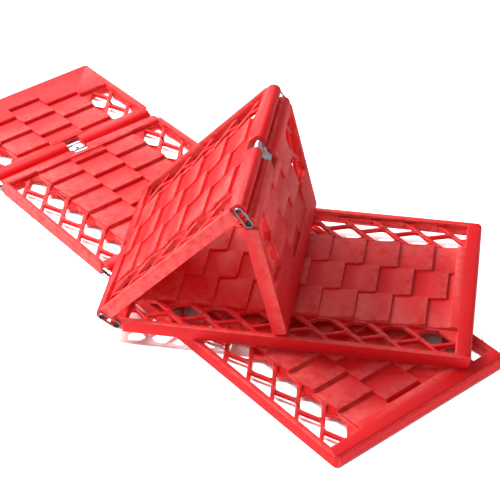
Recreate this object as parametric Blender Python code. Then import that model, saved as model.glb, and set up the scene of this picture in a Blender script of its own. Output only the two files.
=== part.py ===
import math

import bmesh
import bpy
from mathutils import Matrix, Vector

# Two identical folding traction mats. Each mat is three moulded panels in a row, joined by steel
# clips that turn on a steel rod in each panel end. The lower mat lies flat, the upper one rests on
# it, turned, with its two shorter panels stood up as a tent.
# Panel frame: +X runs towards the free end of the long panel, +Y to the rear edge, +Z up from the
# face that lies on the ground, with the origin at the panel's corner on the ground.

# Driving dimensions, in metres
tile_pitch = 0.030
panel_width = 0.186
panel_thickness = 0.012
panel_gap = 0.002
side_rim = 0.005
end_bar = 0.0125
lattice_width = 0.0325
lattice_top_drop = 0.004
lattice_bottom_drop = 0.004
rib_thickness = 0.0034
step_height = 0.0035
deck_skin = 0.0002
deck_margin = 0.0145
end_plain_length = 0.045
free_end_radius = 0.003
rod_radius = 0.0025
rod_end_gap = 0.001
running_gap = 0.00035
band_thickness = 0.0015
centre_clip_width = 0.0165
edge_clip_width = 0.004
clip_waist = 0.0052
clip_hole_radius = 0.0016
pocket_margin = 0.0015
centre_pocket_extra = 0.0015
resting_gap = 0.0003
overshoot = 0.002

long_length = 10 * tile_pitch
middle_length = 6 * tile_pitch
end_length = 4 * tile_pitch

# Lattice nodes: ribs cross at the deck node and at the rim node, half a pitch apart, and their
# feet spread to meet the deck and the rim
deck_node_height = 0.0125
rim_node_height = 0.025
foot_spread = 0.0075

# Worked out from the driving dimensions
pin_inset = panel_thickness / 2
pin_spacing = 2 * pin_inset + panel_gap
bore_radius = rod_radius + running_gap
eye_radius = bore_radius + band_thickness
deck_front = side_rim + lattice_width
column_width = (panel_width - 2 * deck_front) / 3
lattice_top = panel_thickness - lattice_top_drop

# Resting pose of the upper mat: the corner of its long panel on the lower long panel, its turn
# about the vertical, and how far each following piece is turned up from lying flat
upper_corner = Vector((0.067, -0.046, panel_thickness + resting_gap))
upper_turn = math.radians(41)
inner_clip_lift = math.radians(32)
middle_lift = math.radians(133.5)
outer_clip_lift = math.radians(234)

# The deck tiles lie between the two deck distances. The side columns have a step at first_step
# and at every pitch from there; the centre column's steps lie half a pitch before them.
panel_kinds = {
    "long_panel": {
        "length": long_length,
        "lattice": (end_bar, long_length - end_bar),
        "deck": (deck_margin, long_length - 0.020),
        "first_step": 0.020,
        "hinged": (True, False),
    },
    "middle_panel": {
        "length": middle_length,
        "lattice": (end_bar, middle_length - end_bar),
        "deck": (deck_margin, middle_length - deck_margin),
        "first_step": 0.038,
        "hinged": (True, True),
    },
    "end_panel": {
        "length": end_length,
        "lattice": (end_plain_length, end_length - end_bar),
        "deck": (0.024, end_length - deck_margin),
        "first_step": 0.039,
        "hinged": (False, True),
    },
}


def clear_scene():
    for item in list(bpy.data.objects):
        bpy.data.objects.remove(item)


def plain_material(name, color, metallic, roughness):
    material = bpy.data.materials.new(name)
    material.use_nodes = True
    shader = material.node_tree.nodes["Principled BSDF"]
    shader.inputs["Base Color"].default_value = (*color, 1.0)
    shader.inputs["Metallic"].default_value = metallic
    shader.inputs["Roughness"].default_value = roughness
    return material


def link_object(name, mesh):
    item = bpy.data.objects.new(name, mesh)
    bpy.context.scene.collection.objects.link(item)
    return item


def prism_mesh(name, shapes):
    # Each shape is (outline, low, high, direction): outline points lie in XY and rise along Z for
    # direction "Z", or lie in XZ and run along Y for direction "Y"
    builder = bmesh.new()
    for outline, low, high, direction in shapes:
        if direction == "Z":
            corners = [Vector((a, b, low)) for a, b in outline]
            travel = Vector((0, 0, high - low))
        else:
            corners = [Vector((a, low, b)) for a, b in outline]
            travel = Vector((0, high - low, 0))
        base = builder.faces.new([builder.verts.new(corner) for corner in corners])
        grown = bmesh.ops.extrude_face_region(builder, geom=[base])
        moved = [part for part in grown["geom"] if isinstance(part, bmesh.types.BMVert)]
        bmesh.ops.translate(builder, verts=moved, vec=travel)
    bmesh.ops.recalc_face_normals(builder, faces=builder.faces)
    mesh = bpy.data.meshes.new(name)
    builder.to_mesh(mesh)
    builder.free()
    return mesh


def circle_outline(center_x, center_z, radius, start, end, count):
    angles = [start + (end - start) * step / count for step in range(count + 1)]
    return [(center_x + radius * math.cos(a), center_z + radius * math.sin(a)) for a in angles]


def box_outline(low_x, high_x, low_y, high_y):
    return [(low_x, low_y), (high_x, low_y), (high_x, high_y), (low_x, high_y)]


def cut_mesh(name, mesh, cutter_meshes):
    # Cuts each cutter from the mesh in turn and returns the finished mesh
    target = link_object(name, mesh)
    cutters = []
    for number, cutter_mesh in enumerate(cutter_meshes):
        cutter = link_object(f"{name}_cutter_{number}", cutter_mesh)
        cutters.append(cutter)
        boolean = target.modifiers.new(f"cut_{number}", "BOOLEAN")
        boolean.operation = "DIFFERENCE"
        boolean.solver = "EXACT"
        boolean.object = cutter
    depsgraph = bpy.context.evaluated_depsgraph_get()
    finished = bpy.data.meshes.new_from_object(target.evaluated_get(depsgraph))
    finished.name = name
    for item in [target, *cutters]:
        bpy.data.objects.remove(item)
    return finished


def end_outline(length, hinged):
    # Side view of a panel, with a half-round at each hinged end and a small radius at a free end
    outline = []
    quarter = math.pi / 2
    top = panel_thickness
    for at_high_end, is_hinged in ((False, hinged[0]), (True, hinged[1])):
        radius = pin_inset if is_hinged else free_end_radius
        steps = 4 if is_hinged else 3
        x = length - radius if at_high_end else radius
        if at_high_end:
            lower = circle_outline(x, radius, radius, -quarter, 0, steps)
            upper = circle_outline(x, top - radius, radius, 0, quarter, steps)
        else:
            lower = circle_outline(x, top - radius, radius, quarter, 2 * quarter, steps)
            upper = circle_outline(x, radius, radius, 2 * quarter, 3 * quarter, steps)
        if is_hinged:
            lower = lower[:-1]
        outline += lower + upper
    return outline


def step_outline(start, end, first_step):
    # Distances and depths of the tile surface between start and end: each tile rises towards +X
    # and drops by step_height at its far edge
    count = math.ceil((start - first_step) / tile_pitch - 1e-6)
    edges = [start]
    step = first_step + count * tile_pitch
    while step < end - 1e-6:
        if step > start + 1e-6:
            edges.append(step)
        step += tile_pitch
    edges.append(end)
    points = []
    for low, high in zip(edges, edges[1:]):
        tile_start = first_step + math.floor((low - first_step) / tile_pitch + 1e-6) * tile_pitch
        for x in (low, high):
            rise = (x - tile_start) / tile_pitch
            points.append((x, deck_skin + step_height * (1 - rise)))
    return points


def deck_cutters(kind):
    # One cutter mesh for the two side columns and one for the centre column
    length = kind["length"]
    low, high = kind["deck"]
    over = panel_thickness + overshoot
    meshes = []
    for columns, shift in (((0, 2), 0.0), ((1,), -tile_pitch / 2)):
        first = kind["first_step"] + shift
        top_start = max(low, first) if not kind["hinged"][0] else low
        top = [(x, panel_thickness - depth) for x, depth in step_outline(top_start, high, first)]
        top += [(high, over), (top_start, over)]
        under = step_outline(length - high, length - low, first)
        under = [(length - x, depth) for x, depth in under]
        under += [(low, -overshoot), (high, -overshoot)]
        shapes = []
        for column in columns:
            front = deck_front + column * column_width
            shapes.append((top, front, front + column_width, "Y"))
            shapes.append((under, front, front + column_width, "Y"))
        meshes.append(prism_mesh("deck_cutter", shapes))
    return meshes


def clip_polygon(polygon, point, inward):
    # Keeps the part of a convex outline on the inward side of the line through point
    kept = []
    for index, here in enumerate(polygon):
        there = polygon[(index + 1) % len(polygon)]
        here_side = (here[0] - point[0]) * inward[0] + (here[1] - point[1]) * inward[1]
        there_side = (there[0] - point[0]) * inward[0] + (there[1] - point[1]) * inward[1]
        if here_side >= 0:
            kept.append(here)
        if (here_side >= 0) != (there_side >= 0):
            share = here_side / (here_side - there_side)
            kept.append((here[0] + (there[0] - here[0]) * share, here[1] + (there[1] - here[1]) * share))
    return kept


def cell_outline(center, across, ribs, bounds):
    # A lattice opening: the bounds box cut back by half a rib from each rib's middle line.
    # across gives the distance from the deck edge; ribs are pairs of points seen from the cell
    polygon = box_outline(*bounds)
    for (ax, ay), (bx, by) in ribs:
        length = math.hypot(bx - ax, by - ay)
        inward = (-(by - ay) / length, (bx - ax) / length)
        point = (center + ax + inward[0] * rib_thickness / 2, ay + inward[1] * rib_thickness / 2)
        polygon = clip_polygon(polygon, point, inward)
    return [(x, across(y)) for x, y in polygon]


def lattice_cutter(kind):
    # Pockets over and under both lattices, and the openings between their ribs
    low, high = kind["lattice"]
    half = tile_pitch / 2
    count = int((high - low) / tile_pitch)
    first_center = (low + high - count * tile_pitch) / 2 + half
    deck_side = rib_thickness / 2
    big_ribs = [
        ((-half, deck_node_height), (-half + foot_spread, 0)),
        ((half - foot_spread, 0), (half, deck_node_height)),
        ((half, deck_node_height), (0, rim_node_height)),
        ((0, rim_node_height), (-half, deck_node_height)),
    ]
    small_ribs = [
        ((-half, rim_node_height), (0, deck_node_height)),
        ((0, deck_node_height), (half, rim_node_height)),
        ((half, rim_node_height), (half - foot_spread, lattice_width)),
        ((-half + foot_spread, lattice_width), (-half, rim_node_height)),
    ]
    shapes = []
    for side in (-1, 1):
        def across(distance, side=side):
            middle = panel_width / 2
            return middle + side * (middle - deck_front + distance)
        pocket = box_outline(low, high, min(across(0), across(lattice_width)),
                             max(across(0), across(lattice_width)))
        shapes.append((pocket, lattice_top, panel_thickness + overshoot, "Z"))
        shapes.append((pocket, -overshoot, lattice_bottom_drop, "Z"))
        for number in range(count):
            center = first_center + number * tile_pitch
            bounds = (center - half, center + half, deck_side, lattice_width)
            shapes.append((cell_outline(center, across, big_ribs, bounds), 0, lattice_top + 0.001, "Z"))
        for number in range(count + 1):
            center = first_center + number * tile_pitch - half
            bounds = (max(center - half, low), min(center + half, high), 0, lattice_width)
            outline = cell_outline(center, across, small_ribs, bounds)
            shapes.append((outline, 0, lattice_top + 0.001, "Z"))
    return shapes


def hinge_cutters(kind):
    # Pockets for the three clips and the bore for the rod, at each hinged end
    length = kind["length"]
    middle = panel_width / 2
    pocket_half = centre_clip_width / 2 + resting_gap
    notch = edge_clip_width + 2 * resting_gap
    edge_reach = pin_inset + eye_radius + pocket_margin
    centre_reach = edge_reach + centre_pocket_extra
    ends = []
    bores = []
    for at_high_end, is_hinged in zip((False, True), kind["hinged"]):
        if not is_hinged:
            continue
        direction = -1 if at_high_end else 1
        origin = length if at_high_end else 0
        for reach, low_y, high_y in (
            (edge_reach, -overshoot, notch),
            (centre_reach, middle - pocket_half, middle + pocket_half),
            (edge_reach, panel_width - notch, panel_width + overshoot),
        ):
            sides = sorted((origin - direction * overshoot, origin + direction * reach))
            ends.append((box_outline(*sides, low_y, high_y), -overshoot,
                         panel_thickness + overshoot, "Z"))
        center = origin + direction * pin_inset
        circle = circle_outline(center, pin_inset, bore_radius, 0, 2 * math.pi, 16)[:-1]
        bores.append((circle, -overshoot, panel_width + overshoot, "Y"))
    return prism_mesh("pocket_cutter", ends), prism_mesh("bore_cutter", bores)


def panel_mesh(name, kind):
    outline = end_outline(kind["length"], kind["hinged"])
    body = prism_mesh(name, [(outline, 0, panel_width, "Y")])
    lattice = lattice_cutter(kind)
    pockets = prism_mesh("lattice_pockets", [shape for shape in lattice if shape[1] != 0])
    cells = prism_mesh("lattice_cells", [shape for shape in lattice if shape[1] == 0])
    hinge_pockets, bores = hinge_cutters(kind)
    cutters = [pockets, cells, *deck_cutters(kind), hinge_pockets, bores]
    mesh = cut_mesh(name, body, cutters)
    mesh.shade_flat()
    return mesh


def clip_mesh(name, width, is_centre):
    # A steel band round both rods: its first eye is at the origin, its second at -X, and it runs
    # along Y. The centre clip is pinched between its eyes, with a hole; the edge clip is a plain
    # link with one slot.
    span = pin_spacing
    quarter = math.pi / 2
    low, high = -width / 2, width / 2
    right = circle_outline(0, 0, eye_radius, -quarter, quarter, 10)
    left = circle_outline(-span, 0, eye_radius, quarter, 3 * quarter, 10)
    if not is_centre:
        body = prism_mesh(name, [(right + left, low, high, "Y")])
        slot = circle_outline(0, 0, bore_radius, -quarter, quarter, 8)
        slot += circle_outline(-span, 0, bore_radius, quarter, 3 * quarter, 8)
        return cut_mesh(name, body, [prism_mesh("slot", [(slot, low - 0.001, high + 0.001, "Y")])])
    half_waist = clip_waist / 2
    turn = math.acos(half_waist / eye_radius)
    right = circle_outline(0, 0, eye_radius, -quarter - turn / 2, quarter + turn / 2, 14)
    left = circle_outline(-span, 0, eye_radius, quarter - turn / 2, 3 * quarter + turn / 2, 14)
    waist = [(-span / 2 + 0.001, half_waist), (-span / 2 - 0.001, half_waist)]
    under_waist = [(x, -z) for x, z in reversed(waist)]
    body = prism_mesh(name, [(right + waist + left + under_waist, low, high, "Y")])
    eyes = [circle_outline(x, 0, bore_radius, 0, 2 * math.pi, 16)[:-1] for x in (0, -span)]
    cutters = [prism_mesh("eyes", [(eye, low - 0.001, high + 0.001, "Y") for eye in eyes])]
    hole = circle_outline(-span / 2, 0, clip_hole_radius, 0, 2 * math.pi, 10)[:-1]
    cutters.append(prism_mesh("hole", [(hole, -eye_radius, eye_radius, "Z")]))
    return cut_mesh(name, body, cutters)


def rod_mesh():
    outline = circle_outline(0, 0, rod_radius, 0, 2 * math.pi, 16)[:-1]
    return prism_mesh("hinge_rod", [(outline, rod_end_gap, panel_width - rod_end_gap, "Y")])


def shade(mesh, material, is_round):
    mesh.materials.clear()
    mesh.materials.append(material)
    if is_round:
        mesh.shade_smooth()
        mesh.set_sharp_from_angle(angle=math.radians(40))


def place(item, parent, x=0.0, y=0.0, z=0.0):
    item.parent = parent
    item.location = (x, y, z)


def pivot(name, parent, x, z, lift):
    # An empty on a hinge axis. A positive lift turns what lies towards -X upwards
    empty = bpy.data.objects.new(name, None)
    bpy.context.scene.collection.objects.link(empty)
    place(empty, parent, x, 0, z)
    empty.rotation_euler = (0, lift, 0)
    return empty


def add_clips(mat_name, joint_name, parent, meshes):
    middle = panel_width / 2
    edge = resting_gap + edge_clip_width / 2
    for place_name, y, mesh in (
        ("front", edge, meshes["edge_clip"]),
        ("centre", middle, meshes["centre_clip"]),
        ("rear", panel_width - edge, meshes["edge_clip"]),
    ):
        clip = link_object(f"{mat_name}_{joint_name}_clip_{place_name}", mesh)
        place(clip, parent, 0, y, 0)


def add_panel(mat_name, kind_name, parent, x, z, meshes):
    # The panel and the rod in each of its hinged ends; x and z place the panel's corner
    kind = panel_kinds[kind_name]
    panel = link_object(f"{mat_name}_{kind_name}", meshes[kind_name])
    place(panel, parent, x, 0, z)
    names = {(True, False): ("inner",), (True, True): ("outer", "inner"), (False, True): ("outer",)}
    rod_names = names[kind["hinged"]]
    offsets = [pin_inset] * kind["hinged"][0] + [kind["length"] - pin_inset] * kind["hinged"][1]
    for rod_name, offset in zip(rod_names, offsets):
        rod = link_object(f"{mat_name}_{kind_name}_rod_{rod_name}", meshes["rod"])
        place(rod, parent, x + offset, 0, z + pin_inset)


def add_mat(mat_name, frame, lifts, meshes):
    # lifts: how far the inner clips, middle panel, outer clips and end panel are turned up
    add_panel(mat_name, "long_panel", frame, 0, 0, meshes)
    relative = [lifts[0]] + [here - before for before, here in zip(lifts, lifts[1:])]
    inner = pivot(f"{mat_name}_inner_clips", frame, pin_inset, pin_inset, relative[0])
    add_clips(mat_name, "inner", inner, meshes)
    middle = pivot(f"{mat_name}_middle", inner, -pin_spacing, 0, relative[1])
    add_panel(mat_name, "middle_panel", middle, pin_inset - middle_length, -pin_inset, meshes)
    span = middle_length - 2 * pin_inset
    outer = pivot(f"{mat_name}_outer_clips", middle, -span, 0, relative[2])
    add_clips(mat_name, "outer", outer, meshes)
    end = pivot(f"{mat_name}_end", outer, -pin_spacing, 0, relative[3])
    add_panel(mat_name, "end_panel", end, pin_inset - end_length, -pin_inset, meshes)


def standing_end_lift():
    # The end panel's lift at which its foot just stands on the long panel's top face
    height = pin_inset
    height += pin_spacing * math.sin(inner_clip_lift)
    height += (middle_length - 2 * pin_inset) * math.sin(middle_lift)
    height += pin_spacing * math.sin(outer_clip_lift)
    foot_height = panel_thickness + resting_gap

    def lowest(lift):
        reach = end_length - pin_inset - free_end_radius
        corner_side = pin_inset - free_end_radius
        centers = [(reach, -corner_side), (reach, corner_side)]
        drops = [x * math.sin(lift) + z * math.cos(lift) for x, z in centers]
        return height + min(drops) - free_end_radius

    low, high = math.pi, 1.5 * math.pi
    for _ in range(60):
        trial = (low + high) / 2
        if lowest(trial) > foot_height:
            low = trial
        else:
            high = trial
    return low


def center_on_floor(frames):
    # Moves both mats so that the bounding box of the whole part is centred over the origin
    bpy.context.view_layer.update()
    corners = [item.matrix_world @ Vector(corner) for item in bpy.data.objects
               if item.type == "MESH" for corner in item.bound_box]
    lows = [min(corner[axis] for corner in corners) for axis in range(3)]
    highs = [max(corner[axis] for corner in corners) for axis in range(3)]
    shift = Vector((-(lows[0] + highs[0]) / 2, -(lows[1] + highs[1]) / 2, -lows[2]))
    for frame in frames:
        frame.location += shift
    bpy.context.view_layer.update()


def build():
    clear_scene()
    red_plastic = plain_material("red_plastic", (0.72, 0.035, 0.04), 0.0, 0.5)
    bright_steel = plain_material("bright_steel", (0.78, 0.79, 0.80), 1.0, 0.25)
    meshes = {name: panel_mesh(name, kind) for name, kind in panel_kinds.items()}
    for mesh in meshes.values():
        shade(mesh, red_plastic, False)
    meshes["edge_clip"] = clip_mesh("edge_clip", edge_clip_width, False)
    meshes["centre_clip"] = clip_mesh("centre_clip", centre_clip_width, True)
    meshes["rod"] = rod_mesh()
    for name in ("edge_clip", "centre_clip", "rod"):
        shade(meshes[name], bright_steel, True)

    lower_frame = pivot("lower_mat_frame", None, 0, 0, 0)
    upper_frame = pivot("upper_mat_frame", None, 0, 0, 0)
    upper_frame.matrix_world = Matrix.Translation(upper_corner) @ Matrix.Rotation(upper_turn, 4, "Z")
    add_mat("lower", lower_frame, (0, 0, 0, 0), meshes)
    standing = (inner_clip_lift, middle_lift, outer_clip_lift, standing_end_lift())
    add_mat("upper", upper_frame, standing, meshes)
    center_on_floor((lower_frame, upper_frame))


build()
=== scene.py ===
import math

import bmesh
import bpy
from mathutils import Euler, Matrix, Vector


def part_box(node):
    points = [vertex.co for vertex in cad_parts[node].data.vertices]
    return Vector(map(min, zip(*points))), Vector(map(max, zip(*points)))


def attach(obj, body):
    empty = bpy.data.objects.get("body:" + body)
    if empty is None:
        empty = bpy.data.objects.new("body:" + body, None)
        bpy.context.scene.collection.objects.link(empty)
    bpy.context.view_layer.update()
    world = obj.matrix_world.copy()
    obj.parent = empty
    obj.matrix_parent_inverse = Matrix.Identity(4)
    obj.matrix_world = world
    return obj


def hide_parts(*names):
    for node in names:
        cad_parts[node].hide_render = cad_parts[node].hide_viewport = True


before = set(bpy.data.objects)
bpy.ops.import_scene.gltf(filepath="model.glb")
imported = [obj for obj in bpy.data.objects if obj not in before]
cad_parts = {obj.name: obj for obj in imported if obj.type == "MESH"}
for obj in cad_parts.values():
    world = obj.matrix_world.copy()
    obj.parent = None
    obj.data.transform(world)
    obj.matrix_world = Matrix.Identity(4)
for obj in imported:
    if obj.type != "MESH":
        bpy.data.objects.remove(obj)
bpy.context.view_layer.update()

mm = 0.001

# Sizes that every panel shares, in metres. A panel's own axes: +X to the free end of the long
# panel, +Y to the rear edge, +Z up from its ground face.
panelSizes = {
    "pitch": 30 * mm,
    "width": 186 * mm,
    "thickness": 12 * mm,
    "rim": 5 * mm,
    "latticeWidth": 32.5 * mm,
    "ribLow": 4 * mm,
    "ribHigh": 8 * mm,
    "cellRound": 1.6 * mm,
    "cellMargin": 0.3 * mm,  # between a cut-off opening and the end of the strip
    "webHigh": 6.2 * mm,
    "webLow": 1.6 * mm,
    "step": 3.5 * mm,
    "skin": 0.2 * mm,
    "edgeRound": 0.75 * mm,
    "freeRound": 3 * mm,
    "cornerRound": 4.5 * mm,
    "hingeCornerRound": 0.9 * mm,
    "pinInset": 6 * mm,
    "notchWidth": 3.0 * mm,
    "notchReach": 10.9 * mm,
    "pocketWidth": 17.1 * mm,
    "pocketReach": 12.4 * mm,
    "boreRadius": 2.35 * mm,
}

# hinged tells which ends carry a hinge: low X, high X. Side columns of tiles step down at
# firstStep and at every pitch from there, the centre column half a pitch before.
panelKinds = {
    "long_panel": {"length": 300 * mm, "lattice": (12.5 * mm, 287.5 * mm),
                   "deck": (14.5 * mm, 280 * mm), "firstStep": 20 * mm, "hinged": (True, False)},
    "middle_panel": {"length": 180 * mm, "lattice": (12.5 * mm, 167.5 * mm),
                     "deck": (14.5 * mm, 165.5 * mm), "firstStep": 38 * mm, "hinged": (True, True)},
    "end_panel": {"length": 120 * mm, "lattice": (45 * mm, 107.5 * mm),
                  "deck": (24 * mm, 105.5 * mm), "firstStep": 39 * mm, "hinged": (False, True)},
}

deckFront = panelSizes["rim"] + panelSizes["latticeWidth"]
columnWidth = (panelSizes["width"] - 2 * deckFront) / 3
through = 1 * mm  # how far a cutting shape runs past the faces it cuts
slack = 1e-6  # for comparing lengths that were worked out in different ways

plasticFinish = {
    "deepRed": (0.74, 0.009, 0.013, 1),
    "brightRed": (0.80, 0.012, 0.017, 1),
    # Painted highlight colour for the crests of the rounded edges
    "highlightRed": (0.90, 0.15, 0.14, 1),
    "mottleScale": 14,  # per metre, so a patch is about 70 mm
    "grainScale": 950,
    "grainDepth": 0.10 * mm,
    "grainStrength": 0.5,
    "roughness": (0.44, 0.52),
    # How strong the painted edge highlight is, and how large the noise patches that break it up are
    "highlightAmount": 0.6,
    "highlightPatchScale": 160,
    "polishScale": 90,
    "specular": 0.22,
}

steelFinish = {
    "clipColors": ((0.74, 0.75, 0.77, 1), (0.88, 0.89, 0.90, 1)),
    # Dark rod colours are painted shade, standing for the shadow in the slots the rods lie in
    "rodShadeColors": ((0.10, 0.10, 0.11, 1), (0.20, 0.20, 0.21, 1)),
    "clipRoughness": (0.07, 0.2),
    "rodRoughness": (0.30, 0.48),
    "clipScratches": 0.12,
    "rodScratches": 0.3,
    "stainScale": 320,
    "polishScale": 500,
    "scratchScale": 900,
    "scratchDepth": 0.05 * mm,
}


def addNode(tree, kind, values=None, **settings):
    node = tree.nodes.new(kind)
    for name, value in settings.items():
        setattr(node, name, value)
    for name, value in (values or {}).items():
        node.inputs[name].default_value = value
    return node


def newMaterial(name):
    material = bpy.data.materials.new(name)
    material.use_nodes = True
    tree = material.node_tree
    shader = tree.nodes["Principled BSDF"]
    place = addNode(tree, "ShaderNodeTexCoord").outputs["Object"]
    return material, tree, shader, place


def addNoise(tree, place, scale, detail, roughness=0.5):
    noise = addNode(tree, "ShaderNodeTexNoise", {
        "Scale": scale, "Detail": detail, "Roughness": roughness})
    tree.links.new(place, noise.inputs["Vector"])
    return noise.outputs["Fac"]


def addRange(tree, source, fromRange, toRange):
    span = addNode(tree, "ShaderNodeMapRange", {
        "From Min": fromRange[0], "From Max": fromRange[1], "To Min": toRange[0], "To Max": toRange[1]})
    tree.links.new(source, span.inputs["Value"])
    return span.outputs["Result"]


def addMix(tree, factor, first, second):
    # first and second are colours or the outputs of other nodes
    mix = addNode(tree, "ShaderNodeMix", data_type="RGBA")
    tree.links.new(factor, mix.inputs["Factor"])
    for socket, color in ((mix.inputs[6], first), (mix.inputs[7], second)):
        if isinstance(color, tuple):
            socket.default_value = color
        else:
            tree.links.new(color, socket)
    return mix.outputs[2]


def addBump(tree, shader, heights, strength, distance):
    bump = addNode(tree, "ShaderNodeBump", {"Strength": strength, "Distance": distance})
    tree.links.new(heights, bump.inputs["Height"])
    tree.links.new(bump.outputs["Normal"], shader.inputs["Normal"])


def makeRedPlastic():
    f = plasticFinish
    material, tree, shader, place = newMaterial("redPlastic")
    mottle = addRange(tree, addNoise(tree, place, f["mottleScale"], 4), (0.35, 0.65), (0, 1))
    color = addMix(tree, mottle, f["deepRed"], f["brightRed"])
    # Painted highlight: lighter red along the crest of every rounded edge, read from the crest attribute
    # and broken up by noise
    edges = addNode(tree, "ShaderNodeAttribute", attribute_name="crestHighlight").outputs["Fac"]
    patches = addRange(tree, addNoise(tree, place, f["highlightPatchScale"], 3), (0.3, 0.6), (0.25, 1))
    highlightMask = addNode(tree, "ShaderNodeMath", operation="MULTIPLY")
    tree.links.new(edges, highlightMask.inputs[0])
    tree.links.new(patches, highlightMask.inputs[1])
    highlightAmount = addRange(tree, highlightMask.outputs["Value"], (0, 1), (0, f["highlightAmount"]))
    tree.links.new(addMix(tree, highlightAmount, color, f["highlightRed"]), shader.inputs["Base Color"])
    polish = addRange(tree, addNoise(tree, place, f["polishScale"], 5), (0.3, 0.7), f["roughness"])
    tree.links.new(polish, shader.inputs["Roughness"])
    grain = addNoise(tree, place, f["grainScale"], 3, 0.6)
    addBump(tree, shader, grain, f["grainStrength"], f["grainDepth"])
    shader.inputs["Specular IOR Level"].default_value = f["specular"]
    return material


def makeSteel(name, colors, roughness, scratchStrength):
    f = steelFinish
    material, tree, shader, place = newMaterial(name)
    stain = addRange(tree, addNoise(tree, place, f["stainScale"], 4), (0.35, 0.65), (0, 1))
    tree.links.new(addMix(tree, stain, *colors), shader.inputs["Base Color"])
    polish = addRange(tree, addNoise(tree, place, f["polishScale"], 4), (0.3, 0.7), roughness)
    tree.links.new(polish, shader.inputs["Roughness"])
    scratches = addNoise(tree, place, f["scratchScale"], 4)
    addBump(tree, shader, scratches, scratchStrength, f["scratchDepth"])
    shader.inputs["Metallic"].default_value = 1
    return material


redPlastic = makeRedPlastic()
brightSteel = makeSteel("brightSteel", steelFinish["clipColors"], steelFinish["clipRoughness"],
                        steelFinish["clipScratches"])
# Rod steel, darkened as painted shade for the slots
rodSteelPaintedShade = makeSteel("rodSteelPaintedShade", steelFinish["rodShadeColors"], steelFinish["rodRoughness"],
                       steelFinish["rodScratches"])
print("materials made")


def linkObject(name, mesh):
    item = bpy.data.objects.new(name, mesh)
    bpy.context.scene.collection.objects.link(item)
    return item


def prism(shapes, name="shape"):
    # Closed prisms: (outline, low, high, axis). Axis Z takes XY points, axis Y takes XZ points
    builder = bmesh.new()
    for outline, low, high, axis in shapes:
        if axis == "Z":
            corners = [Vector((a, b, low)) for a, b in outline]
            travel = Vector((0, 0, high - low))
        else:
            corners = [Vector((a, low, b)) for a, b in outline]
            travel = Vector((0, high - low, 0))
        base = builder.faces.new([builder.verts.new(corner) for corner in corners])
        grown = bmesh.ops.extrude_face_region(builder, geom=[base])
        moved = [part for part in grown["geom"] if isinstance(part, bmesh.types.BMVert)]
        bmesh.ops.translate(builder, verts=moved, vec=travel)
    bmesh.ops.recalc_face_normals(builder, faces=builder.faces)
    mesh = bpy.data.meshes.new(name)
    builder.to_mesh(mesh)
    builder.free()
    return mesh


def arc(x, z, radius, start, end, count):
    angles = [math.radians(start + (end - start) * step / count) for step in range(count + 1)]
    return [(x + radius * math.cos(a), z + radius * math.sin(a)) for a in angles]


def boxOutline(lowX, highX, lowY, highY):
    return [(lowX, lowY), (highX, lowY), (highX, highY), (lowX, highY)]


def clipOutline(outline, point, inward):
    # Keeps what lies on the inward side of the line through point
    kept = []
    for index, here in enumerate(outline):
        there = outline[(index + 1) % len(outline)]
        hereSide = (here[0] - point[0]) * inward[0] + (here[1] - point[1]) * inward[1]
        thereSide = (there[0] - point[0]) * inward[0] + (there[1] - point[1]) * inward[1]
        if hereSide >= 0:
            kept.append(here)
        if (hereSide >= 0) != (thereSide >= 0):
            share = hereSide / (hereSide - thereSide)
            kept.append((here[0] + (there[0] - here[0]) * share,
                         here[1] + (there[1] - here[1]) * share))
    return kept


def roundOutline(outline, radius, steps=4):
    # Rounds each corner with a circular fillet, smaller where its sides are short
    rounded = []
    count = len(outline)
    for index in range(count):
        here = Vector(outline[index])
        before = Vector(outline[index - 1]) - here
        after = Vector(outline[(index + 1) % count]) - here
        if before.length < 1e-7 or after.length < 1e-7:
            continue
        half = before.angle(after) / 2
        reach = min(radius / math.tan(half), before.length * 0.45, after.length * 0.45)
        fillet = reach * math.tan(half)
        center = here + (before.normalized() + after.normalized()).normalized() * fillet / math.sin(half)
        first = here + before.normalized() * reach - center
        last = here + after.normalized() * reach - center
        for step in range(steps + 1):
            spoke = first.lerp(last, step / steps)
            spoke.length = first.length
            rounded.append(tuple(center + spoke))
    return rounded


# Openings of one pitch of the lattice, seen from above at the front edge: distance along the panel
# from the middle of the wide opening, and distance from the deck. Straight slanted ribs run from
# the deck to the rim, and short flatter ribs join them.
latticeCells = {
    "wide": ((-16.5, 7.3), (-9, 2), (2.2, 2), (14.9, 13.6), (12.5, 14.9), (-1.5, 19.9), (-4.8, 19)),
    "narrow": ((-1.2, 22.6), (1.2, 22.2), (15.5, 16.9), (17.9, 16.6), (33.8, 32.5), (8.7, 32.5)),
    "web": ((5.6, -0.6), (19.6, -0.6), (19.6, 1.6), (12.6, 6.2)),
}


def latticeOutline(name):
    return [(x * mm, y * mm) for x, y in latticeCells[name]]


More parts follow.
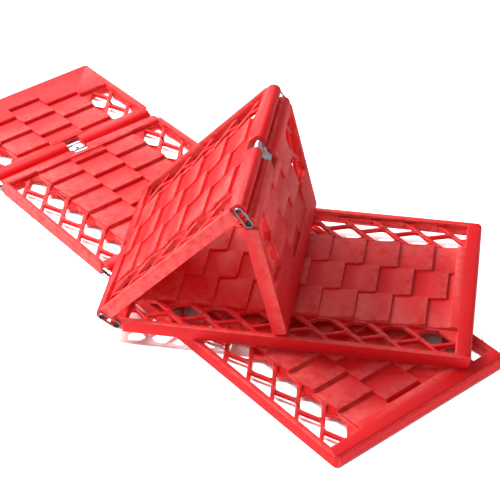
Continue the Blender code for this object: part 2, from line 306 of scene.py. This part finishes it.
def trackTree(name, operation):
    # Repeats a shape along a straight line and cuts it from, or joins it to, the mesh
    tree = bpy.data.node_groups.new(name, "GeometryNodeTree")
    tree.is_modifier = True
    sockets = {}
    for label, kind, direction in (
        ("Geometry", "NodeSocketGeometry", "INPUT"), ("Shape", "NodeSocketObject", "INPUT"),
        ("Count", "NodeSocketInt", "INPUT"), ("Start", "NodeSocketVector", "INPUT"),
        ("Spacing", "NodeSocketVector", "INPUT"), ("Finish", "NodeSocketMaterial", "INPUT"),
        ("Geometry", "NodeSocketGeometry", "OUTPUT"),
    ):
        socket = tree.interface.new_socket(label, in_out=direction, socket_type=kind)
        if direction == "INPUT":
            sockets[label] = socket.identifier
    entry = tree.nodes.new("NodeGroupInput")
    leave = tree.nodes.new("NodeGroupOutput")
    shape = tree.nodes.new("GeometryNodeObjectInfo")
    line = tree.nodes.new("GeometryNodeMeshLine")
    line.mode = "OFFSET"
    instances = tree.nodes.new("GeometryNodeInstanceOnPoints")
    boolean = tree.nodes.new("GeometryNodeMeshBoolean")
    boolean.operation = operation
    boolean.solver = "MANIFOLD"
    realize = tree.nodes.new("GeometryNodeRealizeInstances")
    finish = tree.nodes.new("GeometryNodeSetMaterial")
    link = tree.links.new
    link(entry.outputs["Shape"], shape.inputs["Object"])
    link(entry.outputs["Count"], line.inputs["Count"])
    link(entry.outputs["Start"], line.inputs["Start Location"])
    link(entry.outputs["Spacing"], line.inputs["Offset"])
    link(line.outputs["Mesh"], instances.inputs["Points"])
    link(shape.outputs["Geometry"], instances.inputs["Instance"])
    if operation == "DIFFERENCE":
        link(entry.outputs["Geometry"], boolean.inputs["Mesh 1"])
    else:
        link(entry.outputs["Geometry"], boolean.inputs["Mesh 2"])
    link(instances.outputs["Instances"], boolean.inputs["Mesh 2"])
    link(boolean.outputs["Mesh"], realize.inputs["Geometry"])
    link(realize.outputs["Geometry"], finish.inputs["Geometry"])
    link(entry.outputs["Finish"], finish.inputs["Material"])
    link(finish.outputs["Geometry"], leave.inputs["Geometry"])
    return tree, sockets


cutAlong = trackTree("cut_along_line", "DIFFERENCE")
joinAlong = trackTree("join_along_line", "UNION")


def addTrack(target, helpers, track, mesh, finish, count=1, start=(0, 0, 0), spacing=(0, 0, 0)):
    # Each helper holds the repeated shape until finishedMesh removes it
    tree, sockets = track
    helper = linkObject("helper", mesh)
    helpers.append(helper)
    modifier = target.modifiers.new(tree.name, "NODES")
    modifier.node_group = tree
    modifier[sockets["Shape"]] = helper
    modifier[sockets["Count"]] = count
    modifier[sockets["Start"]] = start
    modifier[sockets["Spacing"]] = spacing
    modifier[sockets["Finish"]] = finish


def finishedMesh(body, helpers, name):
    depsgraph = bpy.context.evaluated_depsgraph_get()
    mesh = bpy.data.meshes.new_from_object(body.evaluated_get(depsgraph))
    mesh.name = name
    body.modifiers.clear()
    for item in (body, *helpers):
        bpy.data.objects.remove(item)
    return mesh


def roundEdges(body, width, segments, angle):
    # Splitting the faces first keeps the bevel from leaving broken ones
    split = body.modifiers.new("split", "TRIANGULATE")
    split.keep_custom_normals = False
    soften = body.modifiers.new("soften", "BEVEL")
    soften.width = width
    soften.segments = segments
    soften.limit_method = "ANGLE"
    soften.angle_limit = math.radians(angle)
    soften.use_clamp_overlap = False


def plateMesh(kind):
    s = panelSizes
    length = kind["length"]
    top = s["thickness"]
    profile = []
    for atHigh, isHinged in ((False, kind["hinged"][0]), (True, kind["hinged"][1])):
        radius = s["pinInset"] if isHinged else s["freeRound"]
        x = length - radius if atHigh else radius
        steps = 6
        if atHigh:
            lower = arc(x, radius, radius, -90, 0, steps)
            upper = arc(x, top - radius, radius, 0, 90, steps)
        else:
            lower = arc(x, top - radius, radius, 90, 180, steps)
            upper = arc(x, radius, radius, 180, 270, steps)
        profile += (lower[:-1] if isHinged else lower) + upper
    return prism([(profile, 0, s["width"], "Y")], "plate")


def planMesh(kind):
    # The plan shape: corners rounded at a free end, nearly square at a hinged end
    s = panelSizes
    length, width = kind["length"], s["width"]
    low = s["hingeCornerRound"] if kind["hinged"][0] else s["cornerRound"]
    high = s["hingeCornerRound"] if kind["hinged"][1] else s["cornerRound"]
    outline = arc(low, low, low, 180, 270, 5) + arc(length - high, high, high, 270, 360, 5)
    outline += arc(length - high, width - high, high, 0, 90, 5) + arc(low, width - low, low, 90, 180, 5)
    return prism([(outline, -through, s["thickness"] + through, "Z")], "plan")


def stepProfile(start, end, firstStep):
    # Depth of the tile faces below the panel's face between start and end
    s = panelSizes
    pitch = s["pitch"]
    edges = [start]
    step = firstStep + math.ceil((start - firstStep) / pitch - slack) * pitch
    while step < end - slack:
        if step > start + slack:
            edges.append(step)
        step += pitch
    edges.append(end)
    points = []
    for low, high in zip(edges, edges[1:]):
        tile = firstStep + math.floor((low - firstStep) / pitch + slack) * pitch
        points += [(x, s["skin"] + s["step"] * (1 - (x - tile) / pitch)) for x in (low, high)]
    return points


def deckCuts(kind):
    s = panelSizes
    length = kind["length"]
    low, high = kind["deck"]
    meshes = []
    for columns, shift in (((0, 2), 0.0), ((1,), -s["pitch"] / 2)):
        first = kind["firstStep"] + shift
        topStart = low if kind["hinged"][0] else max(low, first)
        top = [(x, s["thickness"] - depth) for x, depth in stepProfile(topStart, high, first)]
        top += [(high, s["thickness"] + through), (topStart, s["thickness"] + through)]
        under = [(length - x, depth) for x, depth in stepProfile(length - high, length - low, first)]
        under += [(low, -through), (high, -through)]
        shapes = []
        for column in columns:
            front = deckFront + column * columnWidth
            shapes.append((top, front, front + columnWidth, "Y"))
            shapes.append((under, front, front + columnWidth, "Y"))
        meshes.append(prism(shapes))
    return meshes


def panelMesh(kindName):
    s = panelSizes
    kind = panelKinds[kindName]
    length, width, top = kind["length"], s["width"], s["thickness"]
    low, high = kind["lattice"]
    body = linkObject(kindName, plateMesh(kind))
    helpers = []
    plan = linkObject("plan", planMesh(kind))
    helpers.append(plan)
    trim = body.modifiers.new("plan", "BOOLEAN")
    trim.operation = "INTERSECT"
    trim.solver = "MANIFOLD"
    trim.object = plan

    # Strips beside the deck, cut down to the height of the ribs from both faces
    strips = []
    for front, rear in ((s["rim"], deckFront), (width - deckFront, width - s["rim"])):
        strips.append((boxOutline(low, high, front, rear), s["ribHigh"], top + through, "Z"))
        strips.append((boxOutline(low, high, front, rear), -through, s["ribLow"], "Z"))
    addTrack(body, helpers, cutAlong, prism(strips), redPlastic)

    # Lattice openings, one pitch apart, cut off where they run past the end of the strip
    half = s["pitch"] / 2
    count = int((high - low) / s["pitch"] + slack)
    firstCenter = (low + high - count * s["pitch"]) / 2 + half
    for side in (-1, 1):
        def across(outline, side=side):
            # The rear strip is the front one turned half round
            return [(low + high - x if side > 0 else x, width / 2 + side * (width / 2 - deckFront + y))
                    for x, y in outline]

        def prismAcross(outline, bottom, ceiling):
            return prism([(across(outline), bottom, ceiling, "Z")])

        step = (-side * s["pitch"], 0, 0)

        def cutCell(outline, count=1):
            cell = prismAcross(roundOutline(outline, s["cellRound"]), s["ribLow"] - through,
                               s["ribHigh"] + through)
            addTrack(body, helpers, cutAlong, cell, redPlastic, count, spacing=step)

        for name, first, total in (("wide", 0, count), ("narrow", -1, count + 1)):
            outline = latticeOutline(name)
            whole = []
            for index in range(first, first + total):
                center = firstCenter + index * s["pitch"]
                moved = [(x + center, y) for x, y in outline]
                inside = clipOutline(moved, (low + s["cellMargin"], 0), (1, 0))
                inside = clipOutline(inside, (high - s["cellMargin"], 0), (-1, 0))
                if inside == moved:
                    whole.append(moved)
                elif len(inside) > 2:
                    cutCell(inside)
            if whole:
                cutCell(whole[0], len(whole))
        # Webs between the feet of the ribs at the deck are set back from the rib tops
        web = [(x + firstCenter, y) for x, y in latticeOutline("web")]
        inner = clipOutline(web, (0, 0), (0, 1))
        addTrack(body, helpers, joinAlong, prismAcross(web, s["webLow"], s["webHigh"]), redPlastic,
                 count - 1, spacing=step)
        addTrack(body, helpers, cutAlong, prismAcross(inner, s["webHigh"], s["ribHigh"] + through),
                 redPlastic, count - 1, spacing=step)

    for cut in deckCuts(kind):
        addTrack(body, helpers, cutAlong, cut, redPlastic)

    # Pockets for the clips and the bore for the rod at each hinged end
    pockets = []
    bores = []
    for atHigh, isHinged in zip((False, True), kind["hinged"]):
        if not isHinged:
            continue
        origin, direction = (length, -1) if atHigh else (0, 1)
        for reach, lowY, highY in (
            (s["notchReach"], -through, s["notchWidth"]),
            (s["pocketReach"], (width - s["pocketWidth"]) / 2, (width + s["pocketWidth"]) / 2),
            (s["notchReach"], width - s["notchWidth"], width + through),
        ):
            sides = sorted((origin - direction * through, origin + direction * reach))
            pockets.append((boxOutline(*sides, lowY, highY), -through, top + through, "Z"))
        circle = arc(origin + direction * s["pinInset"], s["pinInset"], s["boreRadius"], 0, 360, 24)[:-1]
        bores.append((circle, -through, width + through, "Y"))
    addTrack(body, helpers, cutAlong, prism(pockets), redPlastic)
    roundEdges(body, s["edgeRound"], 2, 40)
    addTrack(body, helpers, cutAlong, prism(bores), redPlastic)

    return finishedMesh(body, helpers, kindName)


panelMeshes = {}
for kindName in panelKinds:
    panelMeshes[kindName] = panelMesh(kindName)
    print("panel", kindName, len(panelMeshes[kindName].vertices), len(panelMeshes[kindName].polygons))


def markHighlightCrests(mesh):
    # The crest line of every rounded edge gets 1, everything else 0; the red plastic paints its
    # highlight there
    builder = bmesh.new()
    builder.from_mesh(mesh)
    crest = math.radians(27)
    onCrest = [max((edge.calc_face_angle_signed(0) for edge in vertex.link_edges), default=0) > crest
            for vertex in builder.verts]
    builder.free()
    layer = mesh.attributes.new("crestHighlight", "FLOAT", "POINT")
    layer.data.foreach_set("value", [float(value) for value in onCrest])


def smooth(mesh, angle):
    mesh.shade_smooth()
    mesh.set_sharp_from_angle(angle=math.radians(angle))


for mesh in panelMeshes.values():
    markHighlightCrests(mesh)
    smooth(mesh, 40)

clipSizes = {
    "span": 14 * mm,
    "eye": 3.4 * mm,
    "bore": 2.35 * mm,
    "centreWidth": 16.5 * mm,
    "edgeWidth": 2.4 * mm,
    "restingGap": 0.3 * mm,
    "halfWaist": 2.1 * mm,
    "hole": 1.5 * mm,
    "edgeRound": 0.3 * mm,
}
rodSizes = {"radius": 2 * mm, "endGap": 1 * mm, "chamfer": 0.4 * mm}


def clipMesh(name, width, isCentre):
    # First eye at the origin, second at -X; the band runs along Y
    c = clipSizes
    span, eye, bore = c["span"], c["eye"], c["bore"]
    if isCentre:
        # The waist is a concave arc that meets both eyes smoothly
        half = span / 2
        waistArc = (half**2 + c["halfWaist"] ** 2 - eye**2) / (2 * (eye - c["halfWaist"]))
        lean = math.degrees(math.atan2(c["halfWaist"] + waistArc, half))
        dip = arc(-half, c["halfWaist"] + waistArc, waistArc, -lean, lean - 180, 10)
        right = arc(0, 0, eye, lean - 180, 180 - lean, 22)
        left = arc(-span, 0, eye, lean, 360 - lean, 22)
        outline = right + dip[1:-1] + left + [(x, -z) for x, z in reversed(dip)][1:-1]
        cuts = [prism([(arc(x, 0, bore, 0, 360, 24)[:-1], -width, width, "Y")]) for x in (0, -span)]
        cuts.append(prism([(arc(-half, 0, c["hole"], 0, 360, 20)[:-1], -eye, eye, "Z")]))
    else:
        outline = arc(0, 0, eye, -90, 90, 16) + arc(-span, 0, eye, 90, 270, 16)
        slot = arc(0, 0, bore, -90, 90, 14) + arc(-span, 0, bore, 90, 270, 14)
        cuts = [prism([(slot, -width, width, "Y")])]
    body = linkObject(name, prism([(outline, -width / 2, width / 2, "Y")]))
    helpers = []
    for cut in cuts:
        addTrack(body, helpers, cutAlong, cut, brightSteel)
    roundEdges(body, c["edgeRound"], 3, 50)
    return finishedMesh(body, helpers, name)


def rodMesh():
    r = rodSizes
    low, high = r["endGap"], panelSizes["width"] - r["endGap"]
    rings = ((low, r["radius"] - r["chamfer"]), (low + r["chamfer"], r["radius"]),
             (high - r["chamfer"], r["radius"]), (high, r["radius"] - r["chamfer"]))
    builder = bmesh.new()
    circles = [[builder.verts.new((x, y, z)) for x, z in arc(0, 0, radius, 0, 360, 24)[:-1]]
               for y, radius in rings]
    for ring, following in zip(circles, circles[1:]):
        for index in range(len(ring)):
            after = (index + 1) % len(ring)
            builder.faces.new((ring[index], ring[after], following[after], following[index]))
    builder.faces.new(circles[0])
    builder.faces.new(circles[-1])
    bmesh.ops.recalc_face_normals(builder, faces=builder.faces)
    mesh = bpy.data.meshes.new("rod")
    builder.to_mesh(mesh)
    builder.free()
    mesh.materials.append(rodSteelPaintedShade)
    return mesh


clipMeshes = {
    "centre": clipMesh("centreClip", clipSizes["centreWidth"], True),
    "edge": clipMesh("edgeClip", clipSizes["edgeWidth"], False),
}
rod = rodMesh()
for mesh in (*clipMeshes.values(), rod):
    smooth(mesh, 50)
print("clips", len(clipMeshes["centre"].polygons), len(clipMeshes["edge"].polygons))

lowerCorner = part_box("lower_long_panel")[0]
upperSizes = {
    "corner": Vector((67 * mm, -46 * mm, 12.3 * mm)),  # from the lower mat's corner
    "turn": math.radians(41),
    # degrees each following piece is turned up: inner clips, middle panel, outer clips, end panel
    "lifts": (32, 133.5, 234, 256.5555),
}
mats = {
    "lower": (Matrix.Translation(lowerCorner), (0, 0, 0, 0)),
    "upper": (Matrix.Translation(Vector(lowerCorner) + upperSizes["corner"])
              @ Matrix.Rotation(upperSizes["turn"], 4, "Z"), upperSizes["lifts"]),
}


def at(x, y, z):
    return Matrix.Translation((x, y, z))


def addPiece(name, mesh, place, node, body):
    piece = linkObject(name, mesh.copy())
    piece.data.name = name
    piece.data.transform(place)
    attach(piece, body)
    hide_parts(node)
    return piece


def addPanel(mat, kindName, place, rods):
    # rods: name and distance from the panel's low end
    body = f"{mat}_{kindName.split('_')[0]}"
    inset = panelSizes["pinInset"]
    addPiece(f"{mat}.{kindName.split('_')[0]}Panel", panelMeshes[kindName], place,
             f"{mat}_{kindName}", body)
    for rodName, offset in rods:
        addPiece(f"{mat}.{kindName.split('_')[0]}Rod.{rodName}", rod, place @ at(offset, 0, inset),
                 f"{mat}_{kindName}_rod_{rodName}", body)


def addClips(mat, hinge, place):
    c = clipSizes
    width = panelSizes["width"]
    edge = c["restingGap"] + c["edgeWidth"] / 2
    for side, y in (("front", edge), ("centre", width / 2), ("rear", width - edge)):
        mesh = clipMeshes["centre" if side == "centre" else "edge"]
        addPiece(f"{mat}.{hinge}Clip.{side}", mesh, place @ at(0, y, 0), f"{mat}_{hinge}_clip_{side}",
                 f"{mat}_{hinge}_clips")


for mat, (place, lifts) in mats.items():
    inset = panelSizes["pinInset"]
    middleLength = panelKinds["middle_panel"]["length"]
    endLength = panelKinds["end_panel"]["length"]
    turns = [math.radians(here - before) for before, here in zip((0, *lifts), lifts)]
    addPanel(mat, "long_panel", place, (("inner", inset),))
    pivot = place @ at(inset, 0, inset) @ Matrix.Rotation(turns[0], 4, "Y")
    addClips(mat, "inner", pivot)
    pivot = pivot @ at(-clipSizes["span"], 0, 0) @ Matrix.Rotation(turns[1], 4, "Y")
    addPanel(mat, "middle_panel", pivot @ at(inset - middleLength, 0, -inset),
             (("outer", inset), ("inner", middleLength - inset)))
    pivot = pivot @ at(2 * inset - middleLength, 0, 0) @ Matrix.Rotation(turns[2], 4, "Y")
    addClips(mat, "outer", pivot)
    pivot = pivot @ at(-clipSizes["span"], 0, 0) @ Matrix.Rotation(turns[3], 4, "Y")
    addPanel(mat, "end_panel", pivot @ at(inset - endLength, 0, -inset), (("outer", endLength - inset),))
    print("mat placed", mat)

studio = {
    "floorSize": 4.0,
    "floorColors": ((0.9, 0.9, 0.9, 1), (0.93, 0.93, 0.93, 1)),
    "floorDrop": 0.2 * mm,  # keeps the floor off the lower mat's ground face
    "skyStrength": 0.30,
    "floorLight": 3.3,  # falls on the floor alone, from all over it
    "lens": 113.48,
    "cameraPlace": (0.92037, -0.71360, 0.86855),
    "cameraTurn": (90 - 37.47, 0, 50.5),
    "sensor": 36,
    # name, place, size, power, color
    "lights": (("key", (-0.95, -0.55, 1.05), 0.6, 33, (1, 0.98, 0.97)),
               ("back", (-1.15, 0.50, 0.95), 0.9, 12, (1, 1, 1)),
               ("fill", (0.7, -1.3, 0.9), 1.4, 3.0, (1, 1, 1))),
}


def makeStudio():
    builder = bmesh.new()
    bmesh.ops.create_grid(builder, x_segments=1, y_segments=1, size=studio["floorSize"])
    mesh = bpy.data.meshes.new("floor")
    builder.to_mesh(mesh)
    builder.free()
    floor = linkObject("floor", mesh)
    material, tree, shader, place = newMaterial("paleFloor")
    mottle = addRange(tree, addNoise(tree, place, 3, 3), (0, 1), (0.95, 1))
    tint = addMix(tree, mottle, *studio["floorColors"])
    tree.links.new(tint, shader.inputs["Base Color"])
    shader.inputs["Roughness"].default_value = 0.95
    mesh.materials.append(material)
    floor.data.transform(Matrix.Translation((0, 0, -studio["floorDrop"])))
    floor.visible_glossy = False

    world = bpy.data.worlds.new("studio")
    world.use_nodes = True
    sky = world.node_tree.nodes["Background"]
    sky.inputs["Color"].default_value = (1, 1, 1, 1)
    sky.inputs["Strength"].default_value = studio["skyStrength"]
    bpy.context.scene.world = world

    for name, spot, size, power, color in studio["lights"]:
        light = bpy.data.lights.new(name, "AREA")
        light.size = size
        light.energy = power
        light.color = color
        lamp = linkObject(name, light)
        lamp.location = spot
        lamp.rotation_euler = (-Vector(spot)).to_track_quat("-Z", "Y").to_euler()

    # A lamp for the floor alone keeps it pale under and beside the mats
    floorOnly = bpy.data.collections.new("floorOnly")
    floorOnly.objects.link(floor)
    nothing = bpy.data.collections.new("nothing")
    wash = bpy.data.lights.new("floorWash", "SUN")
    wash.energy = studio["floorLight"]
    lamp = linkObject("floorWash", wash)
    lamp.location = (0, 0, 2)
    lamp.light_linking.receiver_collection = floorOnly
    lamp.light_linking.blocker_collection = nothing

    camera = bpy.data.cameras.new("camera")
    camera.lens = studio["lens"]
    camera.sensor_width = studio["sensor"]
    holder = linkObject("camera", camera)
    holder.location = studio["cameraPlace"]
    holder.rotation_euler = Euler([math.radians(turn) for turn in studio["cameraTurn"]])
    bpy.context.scene.camera = holder
    bpy.context.scene.view_settings.view_transform = "Standard"


makeStudio()
print("studio set")
